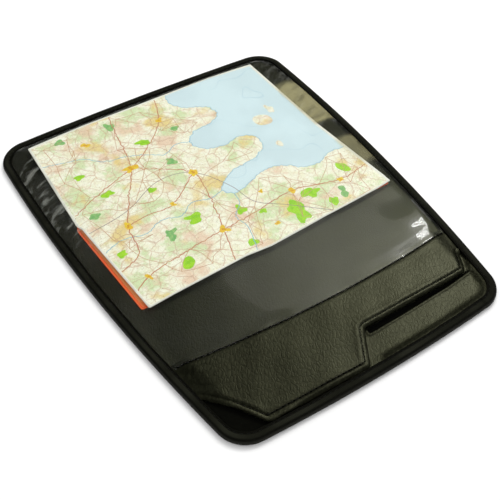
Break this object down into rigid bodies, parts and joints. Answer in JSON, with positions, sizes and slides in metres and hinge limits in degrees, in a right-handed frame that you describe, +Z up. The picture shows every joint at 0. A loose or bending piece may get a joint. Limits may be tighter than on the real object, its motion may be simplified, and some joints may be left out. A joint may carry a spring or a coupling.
{
  "type": "map case",
  "caption": "Flat bound map case with a padded leatherette back, clear window, stepped closing flap and a folded map inside.",
  "frame": {"origin": "under the middle of the case, on the surface that it lies on", "axes": "+Z up through the window, +Y towards the wide end, +X across the case"},
  "size_m": [0.2608, 0.3296, 0.0075],
  "materials": {
    "leather": "pebbled, satin",
    "tape": "woven, matte",
    "film": "clear soft film, glossy, slightly milky",
    "print": "printed paper, matte",
    "paper": "plain paper, matte",
    "cover": "coated paper, satin"
  },
  "bodies": {
    "root": {"back_panel": "leather", "closing_flap": "leather", "edge_binding": "tape", "clear_window": "film", "map_leaf": "print", "map_folds": "paper", "map_cover": "cover"}
  },
  "joints": []
}
